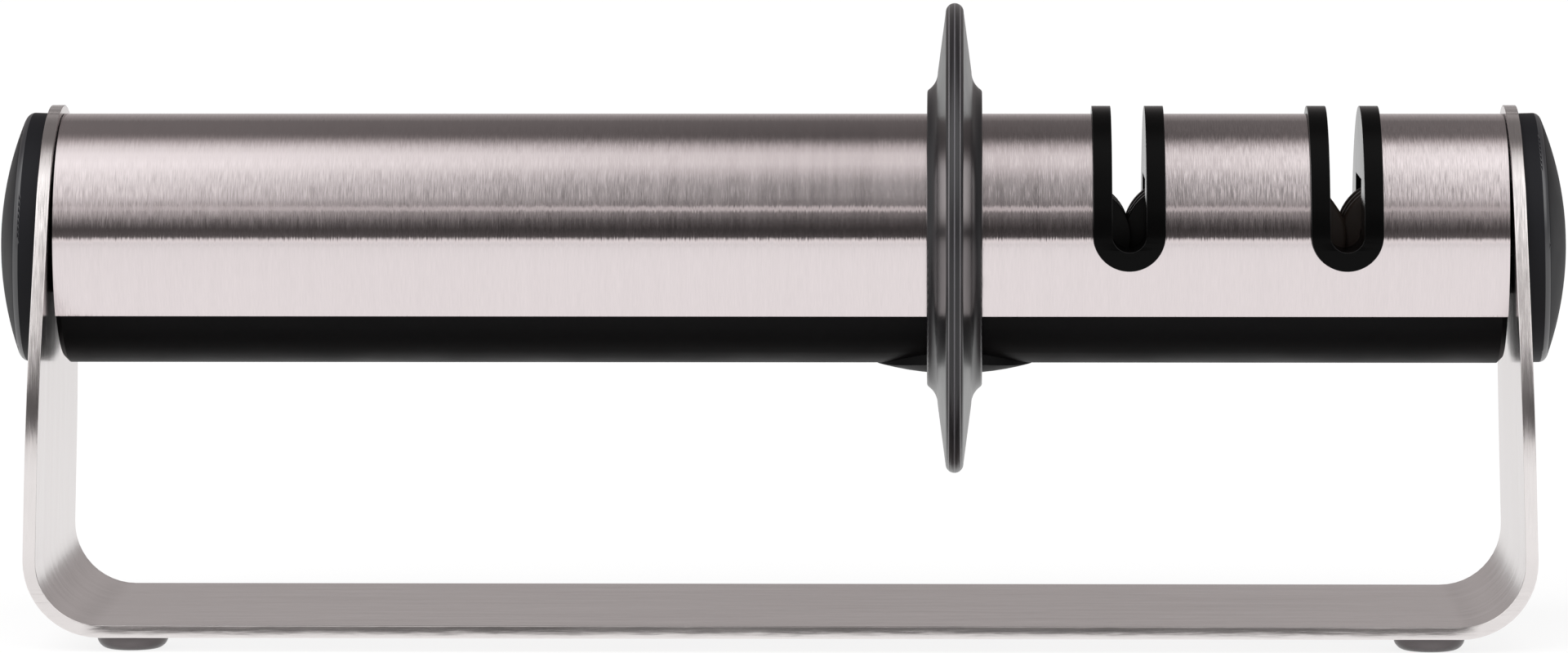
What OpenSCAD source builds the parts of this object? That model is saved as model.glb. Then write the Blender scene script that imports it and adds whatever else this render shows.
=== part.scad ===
// Pull through knife sharpener: a steel tube with two knife slots, held in a bent steel stand.
// Lengths are in millimetres. X runs along the tube, Y points to the back and Z up.
// The origin is on the table, under the middle of the tube.

/* [Tube] */
// Outer diameter of the tube
tube_d = 31.8; // [28:0.2:36]
// Length of the steel shell
shell_len = 183.7; // [160:0.1:230]
// Wall of the steel shell
shell_wall = 0.8; // [0.5:0.1:1.2]
// Height of the seam between shell and keel, below the tube's axis
seam_drop = 9; // [7:0.1:11]
// Wall of the plastic keel
keel_wall = 2.7; // [2:0.1:3.5]
// Height of the lips of the keel that hook behind the shell
lip_h = 4.1; // [2:0.1:5]
// Thickness of the ribs that hold the shell round
rib_t = 1.8; // [1:0.1:3]
// Number of ribs in the handle
rib_count = 4; // [2:1:6]
// Radius of the opening in each rib
rib_hole_r = 9; // [6:0.5:10.5]
// Chamfer at the ends of the keel
keel_chamfer = 0.7; // [0.2:0.1:1.2]

/* [Stand] */
// Thickness of the steel strip
strip_t = 1.6; // [1.2:0.1:2.5]
// Width of the strip
strip_w = 46.7; // [42:0.1:56]
// Radius of the round top of each leg
leg_end_r = 17; // [16.2:0.1:19]
// Depth below the tube's axis where a leg reaches its full width
taper_drop = 19; // [10:0.5:22]
// Radius that blends the taper into the straight side
taper_blend_r = 62; // [10:1:80]
// Lean of the legs towards the tube
leg_lean = 1.65; // [0.5:0.05:2.5]
// Inner radius of the two bends
bend_r = 8; // [4:0.5:12]
// Free height between the base and the tube's axis
axis_rise = 47.15; // [42:0.05:60]

/* [Feet] */
// Diameter of a rubber foot
foot_d = 9; // [7:0.5:12]
// Height of a rubber foot
foot_h = 1.85; // [1.7:0.05:3]
// Rounding of the lower rim of a foot
foot_round = 1.6; // [0.3:0.05:1.65]
// Distance of a foot from the end of the shell, along the tube
foot_inset = 10.05; // [9:0.05:30]
// Distance of a foot from the middle, across the tube
foot_y = 18; // [12:0.1:18]

/* [End caps] */
// Height of a cap over the stand's leg
cap_h = 5.9; // [5.5:0.1:8]
// Radius of the domed face of a cap
cap_dome_r = 42; // [36:1:80]
// Rounding of the edge of the dome
cap_edge_r = 1; // [0.5:0.1:1.4]
// Thickness of an end plug
plug_t = 5.9; // [4:0.1:5.9]
// Diameter of the boss of the plug that the leg is clamped on
plug_boss_d = 14; // [12:0.5:24]
// Diameter of the pegs that keep the leg from turning
peg_d = 3; // [2:0.1:4]
// Distance of a peg from the tube's axis
peg_y = 10; // [8:0.1:12]
// Diameter of the screw cover in the middle of a cap
cover_d = 9.5; // [9:0.1:11]
// Thickness of a screw cover at its rim
cover_t = 1.2; // [0.8:0.1:1.5]
// Diameter of the clamp screw
screw_d = 4; // [3:0.1:5]
// Diameter of the screw's head
screw_head_d = 7.4; // [6:0.1:7.8]
// Height of the screw's head
screw_head_h = 2; // [1.5:0.1:2.2]
// Length of the screw's shank
screw_len = 8.8; // [7:0.1:9]

/* [Finger guard] */
// Distance from the guard to the coarse slot
guard_gap = 22; // [18:0.1:30]
// Outer diameter of the guard
guard_d = 60; // [48:0.5:72]
// Width of the guard's hub
hub_w = 7; // [5:0.1:9]
// Diameter of the hub's shoulder
hub_d = 37; // [36:0.1:42]
// Rounding of the hub's corners
hub_round = 0.5; // [0.2:0.1:1]
// Width of the disc where it leaves the hub
disc_root_w = 4.3; // [3:0.1:5]
// Diameter at which the disc leaves the hub
disc_root_d = 42.4; // [41:0.1:46]
// Width of the disc at its rim
disc_rim_w = 2.3; // [1.5:0.1:2.8]
// Length of the locating boss under the keel
boss_len = 20; // [14:0.5:24]
// Width of the locating boss
boss_w = 15; // [10:0.5:18]
// Height of the boss below the keel
boss_h = 1.4; // [0.8:0.1:1.8]

/* [Knife slots] */
// Distance from the fine slot to the end of the shell
fine_end_gap = 20.45; // [20.3:0.05:24]
// Distance from the coarse to the fine slot
slot_pitch = 27.4; // [27:0.1:32]
// Width of a knife slot
slot_w = 4.3; // [4.2:0.1:5]
// Thickness of the liner beside the slot
liner_wall = 2.4; // [1.8:0.1:2.8]
// Height of the liner above the tube
liner_proud = 1; // [0.5:0.1:1.5]
// Height of the centre of the slot's round bottom above the tube's axis
slot_floor_z = 1.5; // [0:0.1:1.5]

/* [Sharpening discs] */
// Radius of a sharpening disc
disc_r = 6.5; // [6:0.1:6.5]
// Thickness of a sharpening disc
disc_t = 2; // [1.5:0.1:2.2]
// Half of the angle of the V that the discs form
v_half_angle = 20; // [15:0.5:25]
// Height of the bottom of the V above the tube's axis
v_rise = 2.8; // [2.4:0.1:3.2]
// Number of discs on each axle
discs_per_axle = 3; // [2:1:3]
// Rounding of the rim of a coarse disc
coarse_edge = 0.15; // [0.05:0.05:0.4]
// Rounding of the rim of a fine disc
fine_edge = 0.5; // [0.1:0.05:0.8]
// Diameter of an axle
axle_d = 3; // [2:0.1:3.4]
// Depth of an axle's seat at each end
axle_seat = 3; // [2:0.1:4]
// Outer diameter of the sleeve that carries the discs
sleeve_d = 5; // [4.6:0.1:5.6]
// Outer diameter of the spacers between the discs
spacer_d = 8; // [6.6:0.1:9]
// Height of the discs' pocket above the tube's axis
pocket_top = 8; // [7.6:0.1:9]
// Wall of the head beyond a pocket
head_wall = 1.4; // [0.8:0.1:1.4]

/* [Clearances] */
// Gap between fixed pieces that fit in each other
fit = 0.05; // [0.02:0.01:0.1]
// Gap between a sleeve and its axle, on the radius
axle_gap = 0.05; // [0.02:0.01:0.1]
// Gap between moving pieces and what is beside them
run_gap = 0.3; // [0.2:0.05:0.4]

/* [Hidden] */
$fn = 96;
far = 2 * shell_len;

tube_r = tube_d / 2;
bore_r = tube_r - shell_wall;
keel_bore_r = tube_r - keel_wall;
axis_z = foot_h + strip_t + axis_rise;
lip_top = lip_h - seam_drop;
shell_end = shell_len / 2;

// The face of a leg crosses the tube's axis here, so that its top just clears the shell's end
leg_x = shell_end + 2 * fit + tube_r * tan(leg_lean);
base_top = foot_h + strip_t;
bend_x = leg_x - (bend_r + (base_top + bend_r - axis_z) * sin(leg_lean)) / cos(leg_lean);

axle_x = disc_r * cos(v_half_angle);
axle_z = v_rise - disc_r * sin(v_half_angle);
disc_step = disc_t + run_gap;
stack_half = (2 * discs_per_axle - 1) * disc_step / 2 + disc_t / 2;
pocket_half = stack_half + run_gap;
pocket_r = disc_r + run_gap;
fine_x = shell_end - fine_end_gap;
coarse_x = fine_x - slot_pitch;
guard_x = coarse_x - guard_gap;
foot_x = shell_end - foot_inset;
head_margin = axle_x + pocket_r + head_wall;
head_x0 = coarse_x - head_margin;
head_x1 = fine_x + head_margin;
liner_r = slot_w / 2 + liner_wall;

steel = [0.74, 0.72, 0.71];
bright_steel = [0.82, 0.82, 0.83];
black_plastic = [0.07, 0.07, 0.08];
charcoal_plastic = [0.17, 0.18, 0.19];
dark_plastic = [0.2, 0.19, 0.2];
black_rubber = [0.15, 0.15, 0.15];
carbide = [0.22, 0.21, 0.22];
ceramic = [0.33, 0.28, 0.25];

// Extrudes an outline of Y and Z, drawn round the tube's axis, from x0 to x1
module along_tube(x0, x1) {
    translate([x0, 0, axis_z])
        rotate([90, 0, 90])
            linear_extrude(height = x1 - x0)
                children();
}

// Extrudes an outline of X and Z through the tube from front to back
module across_tube(y0, y1) {
    translate([0, y1, axis_z])
        rotate([90, 0, 0])
            linear_extrude(height = y1 - y0)
                children();
}

// Stands a shape on the outer side of a leg's inner face; +Z points out of the object
module on_leg(side) {
    mirror([side < 0 ? 1 : 0, 0, 0])
        translate([leg_x, 0, axis_z])
            rotate([0, 90 - leg_lean, 0])
                children();
}

// The part of an outline above a height
module above(h) {
    intersection() {
        children();
        translate([-far / 2, h])
            square([far, far]);
    }
}

// The part of an outline below a height
module below(h) {
    intersection() {
        children();
        translate([-far / 2, h - far])
            square([far, far]);
    }
}

// What fills the tube inside the shell and between the lips of the keel
module tube_filling() {
    above(lip_top + fit)
        circle(bore_r - fit);
    circle(keel_bore_r - fit);
}

// Outline of a knife slot's round bottom and straight sides, seen from the front
module slot_outline(r) {
    translate([0, slot_floor_z]) {
        circle(r);
        translate([-r, 0])
            square([2 * r, far / 4]);
    }
}

// Side view of half of the space inside the stand, or with t = strip_t of its outer side
module strip_side(t) {
    translate([-1, base_top - t])
        square([bend_x + 1, far]);
    translate([bend_x, base_top + bend_r]) {
        circle(bend_r + t);
        rotate(leg_lean)
            translate([-bend_r, 0])
                square([2 * bend_r + t, far]);
    }
}

// Side view of the stand: the base, two bends and two leaning legs
module strip_profile() {
    difference() {
        for (side = [0, 1])
            mirror([side, 0])
                strip_side(strip_t);
        for (side = [0, 1])
            mirror([side, 0])
                strip_side(0);
    }
}

// Outline of a leg seen along the tube: a round top, two tapers and straight sides
module leg_outline() {
    half_w = strip_w / 2;
    reach = norm([half_w, taper_drop]);
    tangent = acos(leg_end_r / reach) - atan2(taper_drop, half_w);
    blend = taper_blend_r * tan(tangent / 2);
    start = [half_w - blend * sin(tangent), blend * cos(tangent) - taper_drop];
    top = leg_end_r * [cos(tangent), sin(tangent)];
    circle(leg_end_r);
    for (side = [0, 1])
        mirror([side, 0])
            intersection() {
                translate([half_w - taper_blend_r, -taper_drop - blend])
                    circle(taper_blend_r);
                translate([0, -taper_drop - blend])
                    square([half_w, blend * (1 + cos(tangent))]);
            }
    right = [[half_w, -axis_z], [half_w, -taper_drop - blend], start, top];
    left = [for (i = [len(right) - 1 : -1 : 0]) [-right[i][0], right[i][1]]];
    polygon(concat(right, left));
}

module stand() {
    color(steel)
        difference() {
            intersection() {
                translate([0, strip_w / 2, 0])
                    rotate([90, 0, 0])
                        linear_extrude(height = strip_w)
                            strip_profile();
                along_tube(-far / 2, far / 2)
                    leg_outline();
            }
            for (side = [-1, 1])
                on_leg(side) {
                    cylinder(h = 4 * strip_t, d = screw_d + 2 * fit, center = true);
                    for (y = [-peg_y, peg_y])
                        translate([0, y, 0])
                            cylinder(h = 4 * strip_t, d = peg_d + 2 * fit, center = true);
                }
        }
}

module feet() {
    color(black_rubber)
        for (x = [-foot_x, foot_x], y = [-foot_y, foot_y])
            translate([x, y, 0])
                rotate_extrude()
                    intersection() {
                        union() {
                            square([foot_d / 2 - foot_round, foot_h]);
                            translate([0, foot_round])
                                square([foot_d / 2, foot_h - foot_round]);
                            translate([foot_d / 2 - foot_round, foot_round])
                                circle(foot_round, $fn = 48);
                        }
                        square([foot_d / 2, foot_h]);
                    }
}

module shell() {
    color(steel)
        difference() {
            along_tube(-shell_end, shell_end)
                above(-seam_drop)
                    difference() {
                        circle(tube_r);
                        circle(bore_r);
                    }
            for (x = [coarse_x, fine_x])
                translate([x, 0, 0])
                    across_tube(-tube_r, tube_r)
                        slot_outline(liner_r + fit);
        }
}

// The oval boss that locates the guard, seen from below as two crossing arcs
module boss_body(grow) {
    half_len = boss_len / 2 + grow;
    half_w = boss_w / 2 + grow;
    plan_r = (half_len * half_len + half_w * half_w) / (2 * half_w);
    height = boss_h + grow;
    side_r = (half_len * half_len + height * height) / (2 * height);
    intersection() {
        translate([guard_x, 0, axis_z])
            rotate([0, 90, 0])
                rotate_extrude()
                    intersection() {
                        translate([tube_r + height - side_r, 0])
                            circle(side_r, $fn = 360);
                        translate([0, -half_len])
                            square([tube_r + boss_h + 1, 2 * half_len]);
                    }
        boss_plan(half_w, plan_r);
        along_tube(guard_x - half_len, guard_x + half_len)
            difference() {
                below(-seam_drop)
                    circle(tube_r + boss_h + 1);
                circle(tube_r - keel_wall / 2);
            }
    }
}

// The upright prism whose plan is where two circles cross
module boss_plan(half_w, plan_r) {
    intersection_for (side = [-1, 1])
        translate([guard_x, side * (plan_r - half_w), 0])
            cylinder(h = axis_z, r = plan_r);
}

module keel_outline() {
    difference() {
        union() {
            below(-seam_drop - fit)
                circle(tube_r);
            below(lip_top)
                above(-seam_drop - keel_wall)
                    circle(bore_r - fit);
        }
        circle(keel_bore_r);
    }
}

module keel() {
    handle_x0 = -shell_end + plug_t;
    handle_x1 = head_x0 - fit;
    rib_step = (handle_x1 - handle_x0) / (rib_count + 1);
    color(black_plastic)
        union() {
            difference() {
                along_tube(-shell_end, shell_end)
                    keel_outline();
                for (side = [-1, 1])
                    translate([side * shell_end, 0, axis_z])
                        rotate([0, side * 90, 0])
                            translate([0, 0, -keel_chamfer])
                                difference() {
                                    cylinder(h = 2 * keel_chamfer, r = tube_r + 1);
                                    translate([0, 0, -1])
                                        cylinder(h = 3 * keel_chamfer + 1,
                                            r1 = tube_r + 1, r2 = tube_r - 3 * keel_chamfer);
                                }
            }
            for (i = [1 : rib_count])
                along_tube(handle_x0 + i * rib_step - rib_t / 2, handle_x0 + i * rib_step + rib_t / 2)
                    difference() {
                        union() {
                            above(lip_top + fit)
                                circle(bore_r - fit);
                            circle(keel_bore_r + keel_wall / 2);
                        }
                        circle(rib_hole_r);
                    }
            boss_body(0);
        }
}

module end_plug(side) {
    color(black_plastic)
        difference() {
            union() {
                mirror([side < 0 ? 1 : 0, 0, 0])
                    along_tube(shell_end - plug_t, shell_end)
                        tube_filling();
                on_leg(side) {
                    translate([0, 0, -plug_t / 2])
                        cylinder(h = plug_t / 2, d = plug_boss_d);
                    for (y = [-peg_y, peg_y])
                        translate([0, y, -plug_t / 2])
                            cylinder(h = plug_t / 2 + strip_t + 2, d = peg_d);
                }
            }
            on_leg(side)
                translate([0, 0, -far / 2])
                    cylinder(h = far, d = screw_d + 2 * fit);
        }
}

// Profile of a cap's dome above the leg, turned about the cap's axis
module cap_profile() {
    dome_z = strip_t + cap_h - cap_dome_r;
    edge_x = tube_r - cap_edge_r;
    edge_z = dome_z + sqrt(pow(cap_dome_r - cap_edge_r, 2) - pow(edge_x, 2));
    translate([edge_x, edge_z])
        circle(cap_edge_r, $fn = 64);
    translate([0, strip_t])
        square([tube_r, edge_z - strip_t]);
    intersection() {
        translate([0, dome_z])
            circle(cap_dome_r, $fn = 360);
        translate([0, strip_t])
            polygon([[0, 0], [edge_x, 0], [edge_x, edge_z - strip_t],
                [edge_x * cap_dome_r / (cap_dome_r - cap_edge_r),
                    dome_z - strip_t + (edge_z - dome_z) * cap_dome_r / (cap_dome_r - cap_edge_r)],
                [edge_x, cap_h + 1], [0, cap_h + 1]]);
    }
}

cover_seat = strip_t + cap_h - cover_t - pow(cover_d, 2) / (8 * cap_dome_r);
head_seat = cover_seat - screw_head_h - fit;

module end_cap(side) {
    color(charcoal_plastic)
        on_leg(side)
            difference() {
                rotate_extrude()
                    cap_profile();
                cylinder(h = far, d = screw_d + 2 * fit);
                translate([0, 0, head_seat])
                    cylinder(h = far, d = screw_head_d + 4 * fit);
                translate([0, 0, cover_seat])
                    cylinder(h = far, d = cover_d + 2 * fit);
                for (y = [-peg_y, peg_y])
                    translate([0, y, 0])
                        cylinder(h = strip_t + 2 + fit, d = peg_d + 2 * fit);
            }
}

module clamp_screw(side) {
    color(bright_steel)
        on_leg(side)
            difference() {
                union() {
                    translate([0, 0, head_seat])
                        cylinder(h = screw_head_h, d = screw_head_d);
                    translate([0, 0, head_seat - screw_len])
                        cylinder(h = screw_len + 0.1, d = screw_d);
                }
                translate([0, 0, head_seat + screw_head_h / 2])
                    cylinder(h = screw_head_h, d = screw_d * 0.7, $fn = 6);
            }
}

module screw_cover(side) {
    color(charcoal_plastic)
        on_leg(side)
            rotate_extrude()
                intersection() {
                    translate([0, strip_t + cap_h - cap_dome_r])
                        circle(cap_dome_r, $fn = 360);
                    translate([0, cover_seat])
                        square([cover_d / 2, far]);
                }
}

// The guard's section: hub with rounded corners, hollow fillets, tapering disc and round rim
module guard_profile() {
    hub_r = hub_d / 2;
    inner_r = tube_r + fit;
    root_r = disc_root_d / 2;
    rim_r = disc_rim_w / 2;
    fillet_r = root_r - hub_r;
    tip = guard_d / 2 - rim_r;
    corner_y = hub_w / 2 - hub_round;
    fillet_y = disc_root_w / 2 + fillet_r;
    corner_x = root_r - sqrt(pow(fillet_r + hub_round, 2) - pow(fillet_y - corner_y, 2));
    meet_y = corner_y + hub_round * (fillet_y - corner_y) / (fillet_r + hub_round);
    difference() {
        union() {
            translate([inner_r, -hub_w / 2])
                square([corner_x - inner_r, hub_w]);
            translate([inner_r, -meet_y])
                square([root_r - inner_r, 2 * meet_y]);
            for (side = [-1, 1])
                translate([corner_x, side * corner_y])
                    circle(hub_round, $fn = 48);
        }
        for (side = [-1, 1])
            translate([root_r, side * fillet_y])
                circle(fillet_r, $fn = 128);
    }
    polygon([[hub_r, -disc_root_w / 2], [root_r, -disc_root_w / 2], [tip, -rim_r],
        [tip, rim_r], [root_r, disc_root_w / 2], [hub_r, disc_root_w / 2]]);
    translate([tip, 0])
        circle(rim_r, $fn = 48);
}

module finger_guard() {
    color(dark_plastic)
        difference() {
            translate([guard_x, 0, axis_z])
                rotate([0, 90, 0])
                    rotate_extrude()
                        guard_profile();
            boss_body(2 * fit);
        }
}

// Room for the discs of one slot, with its middle at X = 0
module disc_pocket() {
    across_tube(-pocket_half, pocket_half) {
        for (side = [-1, 1])
            translate([side * axle_x, axle_z])
                circle(pocket_r);
        translate([-axle_x, axle_z - pocket_r])
            square([2 * axle_x, pocket_top - axle_z + pocket_r]);
    }
}

// One half of the head that holds the discs between shell and keel
module head_half(back) {
    color(black_plastic)
        difference() {
            intersection() {
                along_tube(head_x0, head_x1)
                    tube_filling();
                translate([head_x0 - 1, back ? 0 : -far, 0])
                    cube([head_x1 - head_x0 + 2, far, far]);
            }
            for (x = [coarse_x, fine_x])
                translate([x, 0, 0]) {
                    across_tube(-tube_r, tube_r)
                        slot_outline(liner_r + fit);
                    disc_pocket();
                    for (side = [-1, 1])
                        translate([side * axle_x, 0, 0])
                            across_tube(-pocket_half - axle_seat - fit, pocket_half + axle_seat + fit)
                                translate([0, axle_z])
                                    circle(d = axle_d + 2 * fit);
                }
        }
}

module slot_liner(x) {
    color(black_plastic)
        translate([x, 0, 0])
            difference() {
                intersection() {
                    across_tube(-tube_r - liner_proud, tube_r + liner_proud)
                        difference() {
                            slot_outline(liner_r);
                            slot_outline(slot_w / 2);
                        }
                    along_tube(-liner_r - 1, liner_r + 1)
                        circle(tube_r + liner_proud);
                }
                disc_pocket();
            }
}

module axle(x, side) {
    color(bright_steel)
        translate([x + side * axle_x, 0, 0])
            across_tube(-pocket_half - axle_seat, pocket_half + axle_seat)
                translate([0, axle_z])
                    circle(d = axle_d);
}

// Lays a shape along an axle: the discs of a right axle start at the back, those of a left one in front
module on_axle(x, side) {
    translate([x + side * axle_x, side * stack_half, axis_z + axle_z])
        rotate([side * 90, 0, 0])
            children();
}

module discs(x, side, edge, tint) {
    color(tint)
        on_axle(x, side)
            for (i = [0 : discs_per_axle - 1])
                translate([0, 0, 2 * i * disc_step])
                    rotate_extrude()
                        difference() {
                            union() {
                                square([disc_r - edge, disc_t]);
                                translate([0, edge])
                                    square([disc_r, disc_t - 2 * edge]);
                                for (z = [edge, disc_t - edge])
                                    translate([disc_r - edge, z])
                                        circle(edge, $fn = 32);
                            }
                            square([sleeve_d / 2 + fit, disc_t]);
                        }
}

module sleeve(x, side) {
    color(bright_steel)
        on_axle(x, side)
            difference() {
                cylinder(h = 2 * stack_half, d = sleeve_d);
                translate([0, 0, -1])
                    cylinder(h = 2 * stack_half + 2, d = axle_d + 2 * axle_gap);
            }
}

// The spacers fill the rest of the sleeve, the last one up to its end
module spacers(x, side) {
    color(black_plastic)
        on_axle(x, side)
            for (i = [0 : discs_per_axle - 1]) {
                z0 = 2 * i * disc_step + disc_t;
                z1 = i == discs_per_axle - 1 ? 2 * stack_half : 2 * (i + 1) * disc_step;
                translate([0, 0, z0])
                    difference() {
                        cylinder(h = z1 - z0, d = spacer_d);
                        translate([0, 0, -1])
                            cylinder(h = z1 - z0 + 2, d = sleeve_d + 2 * fit);
                    }
            }
}

stand();
feet();
shell();
keel();
end_plug(-1);  // left_end_plug
end_plug(1);  // right_end_plug
end_cap(-1);  // left_end_cap
end_cap(1);  // right_end_cap
clamp_screw(-1);  // left_clamp_screw
clamp_screw(1);  // right_clamp_screw
screw_cover(-1);  // left_screw_cover
screw_cover(1);  // right_screw_cover
finger_guard();
head_half(false);  // head_front
head_half(true);  // head_back
slot_liner(coarse_x);  // coarse_liner
slot_liner(fine_x);  // fine_liner
axle(coarse_x, -1);  // coarse_left_axle
axle(coarse_x, 1);  // coarse_right_axle
axle(fine_x, -1);  // fine_left_axle
axle(fine_x, 1);  // fine_right_axle
discs(coarse_x, -1, coarse_edge, carbide);  // coarse_left_discs
discs(coarse_x, 1, coarse_edge, carbide);  // coarse_right_discs
discs(fine_x, -1, fine_edge, ceramic);  // fine_left_discs
discs(fine_x, 1, fine_edge, ceramic);  // fine_right_discs
sleeve(coarse_x, -1);  // coarse_left_sleeve
sleeve(coarse_x, 1);  // coarse_right_sleeve
sleeve(fine_x, -1);  // fine_left_sleeve
sleeve(fine_x, 1);  // fine_right_sleeve
spacers(coarse_x, -1);  // coarse_left_spacers
spacers(coarse_x, 1);  // coarse_right_spacers
spacers(fine_x, -1);  // fine_left_spacers
spacers(fine_x, 1);  // fine_right_spacers
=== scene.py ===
# %% [markdown]
# A pull through knife sharpener: a brushed steel tube with a black keel, held by a bent steel strip, with
# a round finger guard and two knife slots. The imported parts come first. They hold every size and place,
# so the looks are fitted to them and never the other way round.

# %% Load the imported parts
import bpy
from math import pi, radians
from mathutils import Matrix, Vector


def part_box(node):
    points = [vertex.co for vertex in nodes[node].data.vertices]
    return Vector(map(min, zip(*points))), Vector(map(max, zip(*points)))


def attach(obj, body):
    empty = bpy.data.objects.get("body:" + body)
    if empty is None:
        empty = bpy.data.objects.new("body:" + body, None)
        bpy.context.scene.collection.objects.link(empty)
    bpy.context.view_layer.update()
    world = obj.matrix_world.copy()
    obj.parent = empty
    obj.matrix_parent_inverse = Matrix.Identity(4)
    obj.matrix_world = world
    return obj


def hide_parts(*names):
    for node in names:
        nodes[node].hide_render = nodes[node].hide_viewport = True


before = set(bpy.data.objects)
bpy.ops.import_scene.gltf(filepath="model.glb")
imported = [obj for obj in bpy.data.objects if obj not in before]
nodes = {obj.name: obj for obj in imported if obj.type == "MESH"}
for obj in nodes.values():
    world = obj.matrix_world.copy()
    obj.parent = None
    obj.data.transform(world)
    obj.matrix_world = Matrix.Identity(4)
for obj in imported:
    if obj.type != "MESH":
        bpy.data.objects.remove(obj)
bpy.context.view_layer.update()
MM = 0.001
BODY = "stand_and_tube"

# %% [markdown]
# The tube's axis is the line that most patterns are laid out on. The corner of the shell that stands
# furthest to the front lies at the height of the axis, one radius away from it, so nothing here has to
# repeat a size.

# %% Measure the tube
foremost = min((spot.co for spot in nodes["shell"].data.vertices), key=lambda place: place.y)
TUBE_R = -foremost.y
AXIS_Z = foremost.z
guard_low, guard_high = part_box("finger_guard")
GUARD_X = (guard_low.x + guard_high.x) / 2
print("axis height", round(AXIS_Z / MM, 2), "radius", round(TUBE_R / MM, 2))
print("guard at", round(GUARD_X / MM, 2))

# %% [markdown]
# The camera stands a metre in front of the tube and a little above it, behind a long lens, so the two
# legs look almost alike. Its three turns are multiplied in the order of a tripod head: heading, tilt,
# roll.

# %% Place the camera
CAMERA_AT = Vector((22.15, -1031.7, 125.2)) * MM
HEADING = 0.0213
TILT_DOWN = 0.0831
ROLL = -0.0011
LENS = 185.68
SENSOR_WIDTH = 36
CLIP = (0.01, 100)


def place_camera():
    bpy.ops.object.camera_add(location=CAMERA_AT)
    camera = bpy.context.object
    camera.name = "camera"
    camera.data.lens = LENS
    camera.data.sensor_width = SENSOR_WIDTH
    camera.data.clip_start, camera.data.clip_end = CLIP
    heading = Matrix.Rotation(HEADING, 4, "Z")
    tilt = Matrix.Rotation(pi / 2 - TILT_DOWN, 4, "X")
    roll = Matrix.Rotation(ROLL, 4, "Z")
    camera.matrix_world = Matrix.Translation(CAMERA_AT) @ heading @ tilt @ roll
    bpy.context.scene.camera = camera
    bpy.context.scene.view_settings.view_transform = "Standard"


place_camera()
print("camera at", [round(v, 3) for v in CAMERA_AT])

# %% [markdown]
# Colours are written as sRGB hex, as a paint chart gives them, and Blender's shaders want linear light.
# One function does the change. The others add shader nodes and wire them: one for any node, and short
# ones for the arithmetic that the patterns need most, so that each material below reads as a recipe. A
# Mix node has sockets of its own for numbers, vectors and colours, so a small table keeps the first input
# and the result of each kind.

# %% Helpers for colours and shader nodes
WHITE = (1, 1, 1, 1)
MIX_SOCKETS = {"FLOAT": (2, 0), "VECTOR": (4, 1), "RGBA": (6, 2)}


def paint(code):
    """The linear colour of an sRGB hex code."""
    parts = [int(code[i:i + 2], 16) / 255 for i in (1, 3, 5)]
    return [v / 12.92 if v <= 0.04045 else ((v + 0.055) / 1.055) ** 2.4 for v in parts] + [1]


def add_node(tree, kind, sockets=None, **settings):
    """Adds a node. Each socket is given a plain value or the output of another node."""
    made = tree.nodes.new(kind)
    for name, value in settings.items():
        setattr(made, name, value)
    for socket, value in (sockets or {}).items():
        if isinstance(value, bpy.types.NodeSocket):
            tree.links.new(value, made.inputs[socket])
        else:
            made.inputs[socket].default_value = value
    return made


def calc(tree, operation, *values):
    """One step of arithmetic with numbers."""
    return add_node(tree, "ShaderNodeMath", dict(enumerate(values)), operation=operation).outputs[0]


def remap(tree, value, source, target=(0, 1), **settings):
    """Takes a value from one range to another."""
    sockets = {"Value": value, "From Min": source[0], "From Max": source[1],
               "To Min": target[0], "To Max": target[1]}
    return add_node(tree, "ShaderNodeMapRange", sockets, **settings).outputs[0]


def mix(tree, kind, share, first, second):
    """Goes from the first value to the second while the share goes from 0 to 1."""
    at, result = MIX_SOCKETS[kind]
    made = add_node(tree, "ShaderNodeMix", {0: share, at: first, at + 1: second}, data_type=kind)
    return made.outputs[result]


def vector_calc(tree, operation, first, second):
    """One step of arithmetic with two vectors."""
    return add_node(tree, "ShaderNodeVectorMath", {0: first, 1: second}, operation=operation).outputs[0]


def split(tree, vector):
    """The X, Y and Z of a vector, by name."""
    return add_node(tree, "ShaderNodeSeparateXYZ", {0: vector}).outputs


def object_place(tree):
    """Where a point of the surface lies, in metres and in the object's own axes."""
    return add_node(tree, "ShaderNodeTexCoord").outputs["Object"]


def bump(tree, height, strength, distance):
    """The normals of a surface that a height raises."""
    sockets = {"Height": height, "Strength": strength, "Distance": distance}
    return add_node(tree, "ShaderNodeBump", sockets).outputs[0]


def new_material(name, **sockets):
    """A material with one Principled shader, whose plain values are given by socket."""
    material = bpy.data.materials.new(name)
    material.use_nodes = True
    tree = material.node_tree
    tree.nodes.clear()
    values = {key.replace("_", " "): value for key, value in sockets.items()}
    shader = add_node(tree, "ShaderNodeBsdfPrincipled", values)
    add_node(tree, "ShaderNodeOutputMaterial", {"Surface": shader.outputs[0]})
    return material, tree, shader


def feed(tree, shader, **outputs):
    """Gives sockets of the shader their patterns."""
    for key, output in outputs.items():
        tree.links.new(output, shader.inputs[key.replace("_", " ")])


# %% [markdown]
# The studio is a white table under a tent of soft light. Polished metal shows its surroundings, so the
# look of the tube is mostly the look of this tent: a wide bright ceiling that fades towards the front, a
# dark opening over the table with one thin bright seam above it, and a grey rear wall. The camera and the
# person behind it darken the middle. Two tall softboxes stand further out, and only what spreads light
# sideways shows them, such as the edges of the strip. So there are three lists of brightness, for the
# middle of the room, for the ends of the middle and for the softboxes. The angle runs from the front
# horizon over the top to the back. Each list gives degrees and linear brightness. The pairs below the
# lists say where one part of the room fades into the next, as a share of the way sideways: 0 is straight
# ahead and 1 is at right angles to it. The left side wall is bright and the right one grey. The dark
# parts of the tent are a little warmer than the bright ones.

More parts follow.
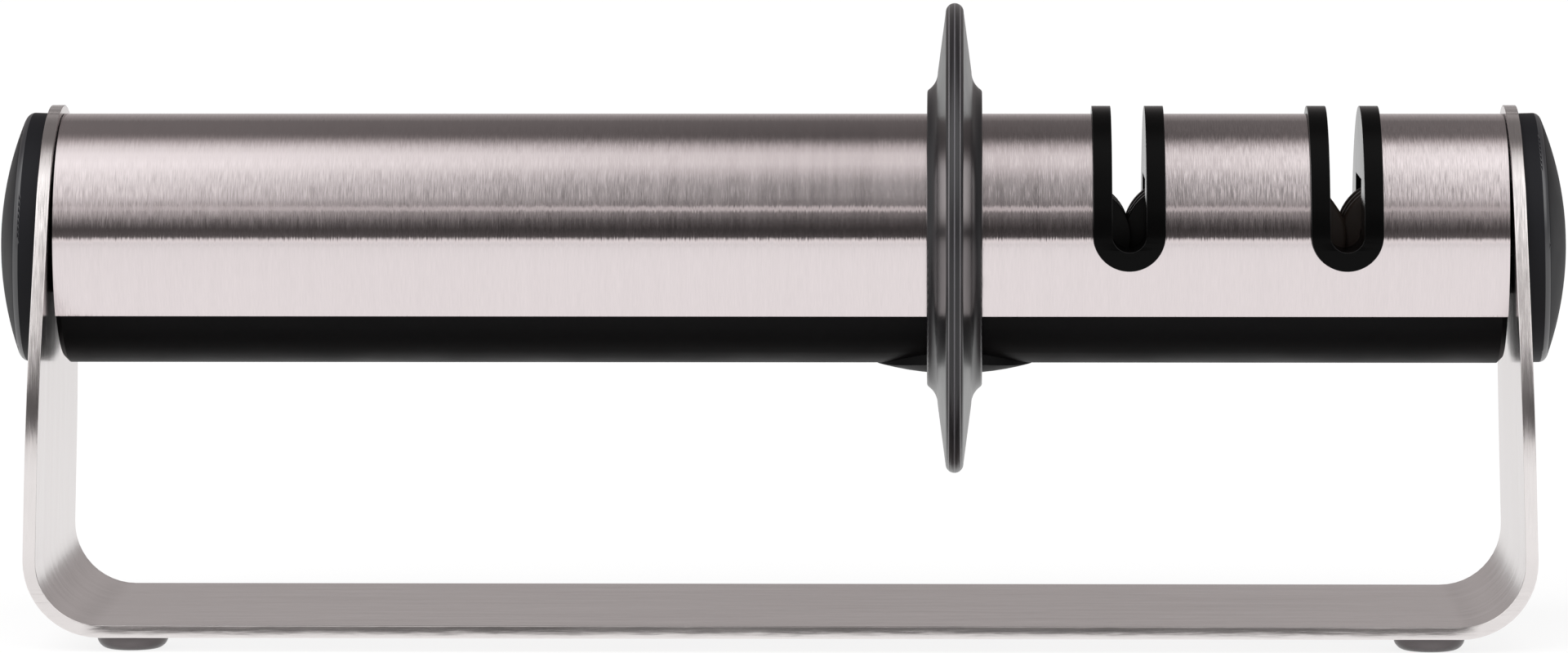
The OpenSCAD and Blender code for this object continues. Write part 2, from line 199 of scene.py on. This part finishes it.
# %% Build the world
TENT = [(-90, 1), (2.6, 0.97), (3.6, 0.14), (12, 0.09), (20, 0.17), (26, 0.42), (28, 0.4), (30, 0.4),
        (32, 0.38), (34, 0.46), (43, 0.93), (51, 1.03), (59, 1.13), (68, 1.2), (77, 1.28), (88, 1.26),
        (97, 1.06), (104, 0.7), (108, 0.46), (112, 0.28), (117, 0.2), (142, 0.18), (158, 0.34),
        (178, 0.52)]
MIDDLE = [(-90, 1), (2.6, 0.97), (3.6, 0.04), (12, 0.02), (20, 0.02), (28, 0.05), (29.4, 0.62), (32.4, 0.62),
          (34, 0.03), (43, 0.02), (51, 0.05), (59, 0.14), (68, 0.38), (77, 0.62), (88, 0.66), (97, 0.44),
          (104, 0.2), (108, 0.12), (112, 0.09), (117, 0.1), (142, 0.14), (158, 0.28), (178, 0.52)]
SIDES = [(-90, 1), (2.6, 1), (3.6, 0.05), (13, 0.05), (21, 1.1), (27, 1.5), (34, 1.8), (76, 1.7), (85, 0.9),
         (93, 0.35), (104, 0.14), (178, 0.3)]
MIDDLE_TO_LEFT = (-0.03, -0.13)
MIDDLE_TO_RIGHT = (0.025, 0.075)
MIDDLE_FADES = 0.6
SIDES_FROM = (0.14, 0.2)
WALLS_FROM = (0.7, 0.9)
LEFT_WALL = 0.8
RIGHT_WALL = 0.3
WARM = (1.06, 0.985, 0.975)
NO_CAST_FROM = 1.3


def tent_ramp(tree, share, levels):
    """A colour ramp over the angle. Places are set before colours, because the stops sort themselves."""
    ramp = add_node(tree, "ShaderNodeValToRGB", {0: share})
    stops = ramp.color_ramp.elements
    while len(stops) < len(levels):
        stops.new(0.5)
    for stop, (degrees, level) in zip(stops, levels):
        stop.position = 0.5 + degrees / 360
    for stop, (degrees, level) in zip(ramp.color_ramp.elements, levels):
        cast = min(1, max(0, NO_CAST_FROM - level))
        stop.color = [level * (1 + (v - 1) * cast) for v in WARM] + [1]
    return ramp.outputs[0]


def build_world():
    world = bpy.data.worlds.new("studio")
    bpy.context.scene.world = world
    world.use_nodes = True
    tree = world.node_tree
    tree.nodes.clear()
    axes = split(tree, add_node(tree, "ShaderNodeTexCoord").outputs["Generated"])
    angle = calc(tree, "ARCTAN2", axes["Z"], calc(tree, "MULTIPLY", axes["Y"], -1))
    share = remap(tree, angle, (-pi, pi))
    sideways = calc(tree, "ABSOLUTE", axes["X"])
    left = remap(tree, axes["X"], MIDDLE_TO_LEFT)
    right = remap(tree, axes["X"], MIDDLE_TO_RIGHT)
    off_middle = calc(tree, "POWER", calc(tree, "MAXIMUM", left, right), MIDDLE_FADES)
    tent = mix(tree, "RGBA", off_middle, tent_ramp(tree, share, MIDDLE), tent_ramp(tree, share, TENT))
    boxed = mix(tree, "RGBA", remap(tree, sideways, SIDES_FROM), tent, tent_ramp(tree, share, SIDES))
    on_right = calc(tree, "GREATER_THAN", axes["X"], 0)
    wall = mix(tree, "RGBA", on_right, [LEFT_WALL] * 3 + [1], [RIGHT_WALL] * 3 + [1])
    far = remap(tree, sideways, WALLS_FROM, interpolation_type="SMOOTHSTEP")
    walled = mix(tree, "RGBA", far, boxed, wall)
    shown = mix(tree, "RGBA", add_node(tree, "ShaderNodeLightPath").outputs["Is Camera Ray"], walled, WHITE)
    glow = add_node(tree, "ShaderNodeBackground", {"Color": shown, "Strength": 1})
    add_node(tree, "ShaderNodeOutputWorld", {0: glow.outputs[0]})


build_world()
print("tent stops", len(TENT), len(MIDDLE), len(SIDES))

# %% [markdown]
# The table top is white and matt. A white that the camera sees as white would need more light than the
# object can stand, so part of what the camera and the metal see of the table is its own glow. The rest is
# real light that falls on it, and there the object's soft shadow shows. The glow that the metal sees fades
# a little with distance from the object, a painted shade that the metal shows just below its dark band.

# %% Lay the table
TABLE_SIZE = 60
TABLE_PAINT = (0.9, 0.9, 0.9, 1)
OWN_GLOW = 0.85
NEAR_AND_FAR = (0.1, 1.2)
FAR_GLOW_PAINTED_SHADE = 0.84


def build_table():
    bpy.ops.object.select_all(action="DESELECT")
    bpy.ops.mesh.primitive_plane_add(size=TABLE_SIZE, location=(0, 0, 0))
    table = bpy.context.object
    table.name = "table"
    material = bpy.data.materials.new("white_table")
    material.use_nodes = True
    tree = material.node_tree
    tree.nodes.clear()
    ray = add_node(tree, "ShaderNodeLightPath").outputs
    away = add_node(tree, "ShaderNodeVectorMath", {0: object_place(tree)}, operation="LENGTH")
    # Painted shade: the glow that the metal sees is dimmer far from the object.
    glow_with_painted_falloff = remap(tree, away.outputs["Value"], NEAR_AND_FAR, (1, FAR_GLOW_PAINTED_SHADE))
    strength = mix(tree, "FLOAT", ray["Is Camera Ray"], glow_with_painted_falloff, 1)
    glow = add_node(tree, "ShaderNodeEmission", {"Color": WHITE, "Strength": strength})
    direct = calc(tree, "MAXIMUM", ray["Is Camera Ray"], ray["Is Glossy Ray"])
    share = calc(tree, "MULTIPLY", direct, OWN_GLOW)
    matt = add_node(tree, "ShaderNodeBsdfDiffuse", {"Color": TABLE_PAINT})
    both = add_node(tree, "ShaderNodeMixShader", {0: share, 1: matt.outputs[0], 2: glow.outputs[0]})
    add_node(tree, "ShaderNodeOutputMaterial", {0: both.outputs[0]})
    table.data.materials.append(material)


build_table()
print("table in metres", TABLE_SIZE)

# %% [markdown]
# The light that gives the plastic parts their form comes from above and in front, as from a wide softbox.
# A sun with a very wide disc does that and lights the far table as much as the near one. It is kept out
# of the mirror reflections, which the tent already fills.

# %% Hang the light
LIGHT_FROM = Vector((-0.25, -0.6, 1))
LIGHT_STRENGTH = 2
LIGHT_WIDTH = 60


def hang_light():
    bpy.ops.object.light_add(type="SUN", location=LIGHT_FROM)
    light = bpy.context.object
    light.name = "overhead_softbox"
    light.data.energy = LIGHT_STRENGTH
    light.data.angle = radians(LIGHT_WIDTH)
    light.rotation_euler = (-LIGHT_FROM).to_track_quat("-Z", "Y").to_euler()
    light.visible_glossy = False


hang_light()
print("light", LIGHT_STRENGTH, "width in degrees", LIGHT_WIDTH)

# %% [markdown]
# Every brushed or ground surface gets its pattern from grey noise that is drawn out along the brushing.
# Nearly all of such a noise lies between 0.3 and 0.7, so this is the range that is spread over what it
# controls. The pairs of shades give the middle of a control and how far it goes to each side. A thin and
# a wide noise shade the metal. The thin one also tips the surface across the scratches, and another one,
# a little larger, tips it along them.

# %% Helpers for brushed surfaces
NOISE = (0.3, 0.7)
OTHER_SIZE = 1.3
THIN_SHADE = (0.985, 0.025)
WIDE_SHADE = (0.99, 0.015)
SHINE_SPREAD = 0.1


def scratches(tree, coordinates, size):
    """Grey noise whose grains are as long as size says in each direction."""
    spread = vector_calc(tree, "MULTIPLY", coordinates, [1 / v for v in size])
    sockets = {"Vector": spread, "Scale": 1, "Detail": 3, "Roughness": 0.65}
    return add_node(tree, "ShaderNodeTexNoise", sockets).outputs[0]


def spread_about(tree, value, middle, half):
    """Spreads a noise over a range about a middle."""
    return remap(tree, value, NOISE, (middle - half, middle + half), clamp=False)


def rotate(tree, vector, axis, angle):
    """Turns a vector about an axis."""
    sockets = {"Vector": vector, "Axis": axis, "Angle": angle}
    return add_node(tree, "ShaderNodeVectorRotate", sockets, rotation_type="AXIS_ANGLE").outputs[0]


def brushed_metal(name, code, layout, streaks, across, tips, roughness, anisotropy):
    """A brushed metal. streaks are extents of fine and broad scratches, tips the angles across and along
    them. layout turns object coordinates into the pattern's. across gives the direction that light spreads
    in, and two angles, or None, that the surface leans by: one along this direction and one across it."""
    material, tree, shader = new_material(name, Metallic=1, Anisotropic=anisotropy)
    place = object_place(tree)
    laid_out = layout(tree, place)
    thin = scratches(tree, laid_out, streaks[0])
    other = scratches(tree, laid_out, [OTHER_SIZE * extent for extent in streaks[0]])
    wide = scratches(tree, laid_out, streaks[1])
    shade = calc(tree, "MULTIPLY", spread_about(tree, thin, *THIN_SHADE),
                 spread_about(tree, wide, *WIDE_SHADE))
    colour = add_node(tree, "ShaderNodeVectorMath", {0: paint(code)[:3], "Scale": shade}, operation="SCALE")
    blur, lean, roll = across(tree, place)
    facing = add_node(tree, "ShaderNodeNewGeometry").outputs["Normal"]
    along = vector_calc(tree, "CROSS_PRODUCT", facing, blur)
    flank = spread_about(tree, thin, 0, tips[0])
    if lean is not None:
        flank = calc(tree, "ADD", flank, lean)
    turn = spread_about(tree, other, 0, tips[1])
    if roll is not None:
        turn = calc(tree, "SUBTRACT", turn, roll)
    feed(tree, shader, Base_Color=colour.outputs[0],
         Roughness=spread_about(tree, wide, roughness, roughness * SHINE_SPREAD),
         Normal=rotate(tree, rotate(tree, facing, along, flank), blur, turn), Tangent=blur)
    return material


def straight(*direction):
    """Light spreads in one direction all over the piece, and the surface doesn't lean."""
    def across(tree, place):
        return add_node(tree, "ShaderNodeCombineXYZ", dict(zip("XYZ", direction))).outputs[0], None, None
    return across


# %% [markdown]
# The tube is stainless steel, brushed with a belt while it turned, so its scratches run round it. Each
# scratch is a few millimetres long and one or two tenths wide. Three things make the look. The metal is
# shiny, so the edges of light stay crisp, a little more blurred along the tube than round it. The flank
# of each scratch tips the surface a degree or so to one side, so that it mirrors a place of the tent
# further left or right: streaks show where the tent differs sideways and none over the even table. And a
# scratch is hardly darker or brighter by itself. The pattern is laid out on the unrolled tube, with the
# angle times the radius as second direction.

# %% Brushed steel of the tube
def unrolled(tree, place):
    """Coordinates along the tube and round it, in metres, from object coordinates."""
    axes = split(tree, place)
    angle = calc(tree, "ARCTAN2", calc(tree, "SUBTRACT", axes["Z"], AXIS_Z), axes["Y"])
    sockets = {"X": axes["X"], "Y": calc(tree, "MULTIPLY", angle, TUBE_R)}
    return add_node(tree, "ShaderNodeCombineXYZ", sockets).outputs[0]


tube_steel = brushed_metal("stainless_tube_belt_brushed", "#e1d8d9", unrolled,
                           ((0.14 * MM, 2.2 * MM, 1), (1.5 * MM, 25 * MM, 1)), straight(1, 0, 0),
                           (radians(1.2), radians(1)), 0.115, 0.8)
print("made", tube_steel.name)

# %% [markdown]
# The strip of the stand is brushed along its length, before it is bent. So the scratches run along X on
# the base and up the legs, and light spreads across the strip, along Y, on both.

# %% Brushed steel of the strip
def as_it_is(tree, place):
    return place


strip_steel = brushed_metal("stainless_strip_brushed_lengthwise", "#d8d1d0", as_it_is,
                            ((5 * MM, 0.2 * MM, 5 * MM), (40 * MM, 2 * MM, 40 * MM)), straight(0, 1, 0),
                            (radians(1.2), radians(0.6)), 0.2, 0.6)
print("made", strip_steel.name)

# %% [markdown]
# The strip's sheared edges are dressed with a belt that runs along them. On the legs that spreads light
# along X, and on the base along Z. The bends lie between. Shearing rolls the upper side of an edge over,
# so on the base the edge leans up a little towards its top. Round the tight curve of a leg's head it
# leans outwards all over.

# %% Dressed edges of the strip
BASE_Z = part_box("stand")[0].z
STRIP_T = 1.6 * MM
BEND_X = (84 * MM, 88 * MM)
BEND_Z = (8 * MM, 14 * MM)
BASE_LEAN = (radians(-2), radians(15))
HEAD_Z = (AXIS_Z - 3 * MM, AXIS_Z + 3 * MM)
HEAD_LEAN = radians(9)
BASE_STRETCH = (0.05, 1, 1)
LEG_STRETCH = (1.4, 1, 0.07)


def on_leg(tree, axes):
    """0 on the base, 1 on the legs, and between them in the bends."""
    return remap(tree, axes["Z"], BEND_Z)


def edge_layout(tree, place):
    """Stretches the pattern along X on the base and along Z on the legs."""
    stretch = mix(tree, "VECTOR", on_leg(tree, split(tree, place)), BASE_STRETCH, LEG_STRETCH)
    return vector_calc(tree, "MULTIPLY", place, stretch)


def edge_across(tree, place):
    """Light spreads up the base's edge and along X on the legs. The base leans as sheared, the heads
    lean outwards."""
    axes = split(tree, place)
    blur = mix(tree, "VECTOR", on_leg(tree, axes), (0, 0, 1), (1, 0, 0))
    sheared = remap(tree, axes["Z"], (BASE_Z, BASE_Z + STRIP_T), BASE_LEAN)
    on_base = remap(tree, calc(tree, "ABSOLUTE", axes["X"]), BEND_X, (1, 0))
    head = remap(tree, axes["Z"], HEAD_Z, (0, HEAD_LEAN))
    return blur, calc(tree, "MULTIPLY", sheared, on_base), head


edge_steel = brushed_metal("stainless_edge_dressed", "#ece7e6", edge_layout,
                           ((0.2 * MM, 5 * MM, 0.2 * MM), (1.5 * MM, 20 * MM, 1.5 * MM)), edge_across,
                           (radians(2.5), radians(0.6)), 0.2, 0.7)
print("made", edge_steel.name)

# %% [markdown]
# Pins, sleeves and screws are turned steel. Turning leaves rings too fine to see, and a fairly sharp
# shine.

# %% Turned steel
RING = (2 * MM, 0.15 * MM, 2 * MM)
RING_DEPTH = 0.003 * MM


def turned_steel():
    material, tree, shader = new_material("turned_steel", Metallic=1, Roughness=0.22,
                                          Base_Color=paint("#cfcfd1"))
    feed(tree, shader, Normal=bump(tree, scratches(tree, object_place(tree), RING), 0.3, RING_DEPTH))
    return material


pin_steel = turned_steel()
print("made", pin_steel.name)

# %% [markdown]
# The keel, the slot frames and the caps are moulded plastic. The mould gives each its own skin: satin on
# the keel, smoother on the frames, a fine matt grain on the caps. The grain is a noise at the size of the
# mould's spark-eroded pits. It dents the surface, and a second noise, a centimetre wide, clouds its shine
# and its tone a little. Edges that are rubbed or polished are glossier than the skin beside them. The
# feet are grey rubber.

# %% Moulded plastics
CLOUD = 12 * MM
CLOUD_SHINE = (0.9, 1.12)
DEEP_TONE = 0.88
PIT_STRENGTH = 0.5


def moulded_plastic(name, code, roughness, grain, depth, **sockets):
    """A moulded surface whose pits are as wide as grain and as deep as depth."""
    material, tree, shader = new_material(name, IOR=1.5, **sockets)
    place = object_place(tree)
    pits = add_node(tree, "ShaderNodeTexNoise",
                    {"Vector": place, "Scale": 1 / grain, "Detail": 2, "Roughness": 0.5})
    cloud = add_node(tree, "ShaderNodeTexNoise",
                     {"Vector": place, "Scale": 1 / CLOUD, "Detail": 3}).outputs[0]
    base = paint(code)
    deep = [v * DEEP_TONE for v in base[:3]] + [1]
    feed(tree, shader, Base_Color=mix(tree, "RGBA", cloud, deep, base),
         Roughness=remap(tree, cloud, NOISE, [roughness * v for v in CLOUD_SHINE]),
         Normal=bump(tree, pits.outputs[0], PIT_STRENGTH, depth))
    return material


keel_plastic = moulded_plastic("black_abs_satin", "#0a0a0b", 0.5, 0.25 * MM, 0.006 * MM,
                               Specular_IOR_Level=0.1)
liner_plastic = moulded_plastic("black_nylon_smooth", "#050505", 0.22, 0.3 * MM, 0.003 * MM,
                                Specular_IOR_Level=0.06)
slot_wall_plastic = moulded_plastic("black_nylon_wall_smooth", "#050505", 0.2, 0.3 * MM, 0.001 * MM,
                                    Specular_IOR_Level=0.3)
liner_edge_plastic = moulded_plastic("black_nylon_edge_polished", "#050505", 0.16, 0.3 * MM, 0.001 * MM,
                                     Specular_IOR_Level=0.6)
cap_plastic = moulded_plastic("charcoal_abs_matt_grain", "#17171a", 0.5, 0.3 * MM, 0.01 * MM,
                              Specular_IOR_Level=0.12)
# The crease is glossier than the cap, and its lighter colour is a painted highlight.
cap_crease_plastic_with_painted_highlight = moulded_plastic("charcoal_abs_crease_smooth_painted_highlight", "#2b2b2e", 0.3, 0.3 * MM, 0.003 * MM,
                                   Specular_IOR_Level=1)
cover_plastic = moulded_plastic("charcoal_abs_smooth", "#131315", 0.34, 0.3 * MM, 0.006 * MM,
                                Specular_IOR_Level=0.15)
foot_rubber = moulded_plastic("grey_rubber_moulded", "#5c5657", 0.3, 0.35 * MM, 0.01 * MM)
print("materials so far", len(bpy.data.materials))

# %% [markdown]
# The discs are what sharpens. The coarse ones are ground carbide, nearly black. The fine ones are a fired
# ceramic with a brown cast. Both are matt on their flanks, with a fine grain like that of the plastics.

# %% Carbide and ceramic
carbide = moulded_plastic("ground_carbide", "#0b0a09", 0.4, 0.12 * MM, 0.01 * MM,
                          Specular_IOR_Level=0.15)
ceramic = moulded_plastic("fired_ceramic_brown", "#2c2420", 0.45, 0.15 * MM, 0.012 * MM,
                          Specular_IOR_Level=0.3)
print("made", carbide.name, ceramic.name)

# %% [markdown]
# The guard is moulded from dark grey plastic with a semi-gloss skin. Its flanks are seen edge on, where
# even plastic mirrors strongly, so they show the bands of the tube. The mould leaves a fine ridge where
# its halves meet, in the middle of the rim, and one on each side where the rim begins. The ridges are
# bumps at their distance from the guard's middle plane, painted paler than the rest as a painted highlight.

# %% Dark grey plastic of the guard
GUARD_SKIN = "#1d1c1e"
# Where each ridge lies, and the pale colour of its painted highlight.
RIDGE_LINES_AND_PAINTED_HIGHLIGHTS = ((0, "#656367"), (0.72 * MM, "#6b696c"))
RIDGE_HALF = 0.12 * MM
RIDGE_HEIGHT = 0.06 * MM
GUARD_CLOUD = (8 * MM, 8 * MM, 8 * MM)
GUARD_ROUGHNESS = (0.3, 0.02)


def guard_plastic():
    material, tree, shader = new_material("dark_grey_pom_semi_gloss", IOR=1.5, Specular_IOR_Level=0.4)
    place = object_place(tree)
    from_middle = calc(tree, "ABSOLUTE", calc(tree, "SUBTRACT", split(tree, place)["X"], GUARD_X))
    tone = paint(GUARD_SKIN)
    height = 0
    for at, code in RIDGE_LINES_AND_PAINTED_HIGHLIGHTS:
        away = calc(tree, "ABSOLUTE", calc(tree, "SUBTRACT", from_middle, at))
        ridge_and_highlight = remap(tree, away, (RIDGE_HALF, 0))
        # Painted highlight: each ridge line is painted paler than the skin.
        tone = mix(tree, "RGBA", ridge_and_highlight, tone, paint(code))
        height = calc(tree, "MAXIMUM", ridge_and_highlight, height)
    cloud = scratches(tree, place, GUARD_CLOUD)
    feed(tree, shader, Base_Color=tone, Roughness=spread_about(tree, cloud, *GUARD_ROUGHNESS),
         Normal=bump(tree, height, 1, RIDGE_HEIGHT))
    return material


guard_grey = guard_plastic()
print("made", guard_grey.name)

# %% [markdown]
# Most parts need only their finish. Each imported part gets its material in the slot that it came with.

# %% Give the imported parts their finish
FINISH = {
    "stand": strip_steel, "shell": tube_steel, "keel": keel_plastic, "feet": foot_rubber,
    "left_end_plug": keel_plastic, "right_end_plug": keel_plastic,
    "left_end_cap": cap_plastic, "right_end_cap": cap_plastic,
    "left_screw_cover": cover_plastic, "right_screw_cover": cover_plastic,
    "left_clamp_screw": pin_steel, "right_clamp_screw": pin_steel,
    "finger_guard": guard_grey, "head_front": keel_plastic, "head_back": keel_plastic,
    "coarse_liner": liner_plastic, "fine_liner": liner_plastic,
}
for stage, disc in (("coarse", carbide), ("fine", ceramic)):
    for side in ("left", "right"):
        FINISH["%s_%s_discs" % (stage, side)] = disc
        FINISH["%s_%s_sleeve" % (stage, side)] = pin_steel
        FINISH["%s_%s_axle" % (stage, side)] = pin_steel
        FINISH["%s_%s_spacers" % (stage, side)] = keel_plastic
for name, material in FINISH.items():
    nodes[name].data.materials.clear()
    nodes[name].data.materials.append(material)
print("finished", len(FINISH), "of", len(nodes))

# %% [markdown]
# A sheared and bent strip has its edges rounded so that it doesn't cut a hand, and those narrow roundings
# catch the light as fine lines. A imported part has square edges. So a piece that needs roundings starts as
# a merged copy of its part, its flat triangles are dissolved back to faces, and a Bevel modifier rounds
# what is sharp.

# %% Helpers that copy a part and round its edges
MERGE_WITHIN = 0.002 * MM
FLAT_BELOW = radians(0.3)
ROUND_FROM = radians(30)
ROUND_STEPS = 3
SMOOTH_BELOW = radians(40)


def only(piece):
    """Selects one object and makes it active."""
    bpy.ops.object.select_all(action="DESELECT")
    piece.select_set(True)
    bpy.context.view_layer.objects.active = piece


def merged_copy(node, name, material):
    """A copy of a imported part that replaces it, with its doubled corners merged."""
    piece = bpy.data.objects.new(name, nodes[node].data.copy())
    bpy.context.scene.collection.objects.link(piece)
    only(piece)
    bpy.ops.object.mode_set(mode="EDIT")
    bpy.ops.mesh.customdata_custom_splitnormals_clear()
    bpy.ops.mesh.select_all(action="SELECT")
    bpy.ops.mesh.remove_doubles(threshold=MERGE_WITHIN)
    bpy.ops.object.mode_set(mode="OBJECT")
    piece.data.materials.clear()
    piece.data.materials.append(material)
    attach(piece, BODY)
    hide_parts(node)
    return piece


def round_edges(piece, radius, finish=None):
    """Rounds the sharp edges of a merged copy. finish is a material for the roundings alone."""
    if finish:
        piece.data.materials.append(finish)
    only(piece)
    bpy.ops.object.mode_set(mode="EDIT")
    bpy.ops.mesh.select_all(action="SELECT")
    bpy.ops.mesh.dissolve_limited(angle_limit=FLAT_BELOW)
    bpy.ops.object.mode_set(mode="OBJECT")
    bevel = piece.modifiers.new("rounding", "BEVEL")
    bevel.width = radius
    bevel.segments = ROUND_STEPS
    bevel.limit_method = "ANGLE"
    bevel.angle_limit = ROUND_FROM
    bevel.use_clamp_overlap = True
    bevel.material = 1 if finish else -1
    bpy.ops.object.modifier_apply(modifier="rounding")
    bpy.ops.object.shade_smooth_by_angle(angle=SMOOTH_BELOW)
    even = piece.modifiers.new("even_normals", "WEIGHTED_NORMAL")
    even.keep_sharp = True
    bpy.ops.object.modifier_apply(modifier="even_normals")
    print(piece.name, "faces", len(piece.data.polygons))


# %% [markdown]
# The broad faces of the strip keep their lengthwise brushing. Its sheared edges, on the base and up the
# legs, take the dressed finish. They are told apart by the way they face: the edges look to the front or
# the back, and the roundings of a leg look anywhere but along the tube.

# %% Round and dress the strip
STRIP_ROUNDING = 0.32 * MM
EDGE_FACES_Y = 0.5
LEG_EDGE_FACES_X = 0.3

strip = merged_copy("stand", "bent_strip", strip_steel)
round_edges(strip, STRIP_ROUNDING)
strip.data.materials.append(edge_steel)
for face in strip.data.polygons:
    on_leg_edge = face.center.z > BEND_Z[1] and abs(face.normal.x) < LEG_EDGE_FACES_X
    if abs(face.normal.y) > EDGE_FACES_Y or on_leg_edge:
        face.material_index = 1
print("edge faces of the strip", sum(face.material_index for face in strip.data.polygons))

# %% [markdown]
# The tube is a mirror, and a mirror shows the slightest fault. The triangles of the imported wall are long
# and thin, and between the slots they cut a little below the true round. So every face of the copy is
# divided, each corner of the outer and the inner wall is moved out to its radius, and the normals are set
# outright: on the outer wall straight away from the axis, on the inner wall straight at it. The cut edges
# of the steel stay flat. While the faces are divided, two empty material slots mark which wall each of
# them belongs to.

# %% Make the tube exactly round
ROUND_CUTS = 3
WALL_SLACK = 0.02 * MM


def make_round(piece):
    """Moves the walls of a merged copy of the shell to their radii and gives them true normals."""
    mesh = piece.data
    radii = [Vector((spot.co.y, spot.co.z - AXIS_Z)).length for spot in mesh.vertices]
    walls = (TUBE_R, min(radii))
    for wall in walls:
        mesh.materials.append(None)
    for face in mesh.polygons:
        for wall, radius in enumerate(walls):
            if all(abs(radii[spot] - radius) < WALL_SLACK for spot in face.vertices):
                face.material_index = 1 + wall
    only(piece)
    bpy.ops.object.mode_set(mode="EDIT")
    bpy.ops.mesh.select_all(action="SELECT")
    bpy.ops.mesh.subdivide(number_cuts=ROUND_CUTS)
    bpy.ops.object.mode_set(mode="OBJECT")
    normals = [face.normal.copy() for face in mesh.polygons for corner in face.loop_indices]
    for face in mesh.polygons:
        face.use_smooth = True
        if face.material_index == 0:
            continue
        way = 1 if face.material_index == 1 else -1
        for corner, spot in zip(face.loop_indices, face.vertices):
            place = mesh.vertices[spot].co
            away = Vector((0, place.y, place.z - AXIS_Z)).normalized()
            place.yz = away.yz * walls[face.material_index - 1] + Vector((0, AXIS_Z))
            normals[corner] = away * way
    counts = [sum(1 for face in mesh.polygons if face.material_index == part) for part in (0, 1, 2)]
    mesh.polygons.foreach_set("material_index", [0] * len(mesh.polygons))
    while len(mesh.materials) > 1:
        mesh.materials.pop()
    mesh.normals_split_custom_set(normals)
    print(piece.name, "faces of cut edges, outer wall and inner wall", counts)


make_round(merged_copy("shell", "steel_tube", tube_steel))

# %% [markdown]
# Each cap has a matt rim and a matt dome, and between them a smoother crease that catches the light as a
# thin line. The crease is also painted lighter than the rest of the cap, a painted highlight that
# strengthens this line. The rim looks straight away from the axis and the dome mostly along it, so the
# crease is what faces between the two.

# %% Polish the crease of the caps and paint its highlight
CAP_SMOOTH_BELOW = radians(35)
CREASE_FACES_X = (0.15, 0.8)

for side in ("left", "right"):
    cap = merged_copy(side + "_end_cap", side + "_domed_cap", cap_plastic)
    cap.data.materials.append(cap_crease_plastic_with_painted_highlight)
    bpy.ops.object.shade_smooth_by_angle(angle=CAP_SMOOTH_BELOW)
    for face in cap.data.polygons:
        if CREASE_FACES_X[0] < abs(face.normal.x) < CREASE_FACES_X[1]:
            face.material_index = 1
    print(cap.name, "crease faces", sum(face.material_index for face in cap.data.polygons))

# %% [markdown]
# The blades that slide through the slots rub the frames' edges, so the roundings there are glossy. The
# walls of the slots, which face along the tube, are smoother than the frames' tops.

# %% Round the slot frames
LINER_ROUNDING = 0.25 * MM
SLOT_WALL_FACES_X = 0.99

for stage in ("coarse", "fine"):
    liner = merged_copy(stage + "_liner", stage + "_slot_frame", liner_plastic)
    round_edges(liner, LINER_ROUNDING, finish=liner_edge_plastic)
    liner.data.materials.append(slot_wall_plastic)
    for face in liner.data.polygons:
        if abs(face.normal.x) > SLOT_WALL_FACES_X:
            face.material_index = 2
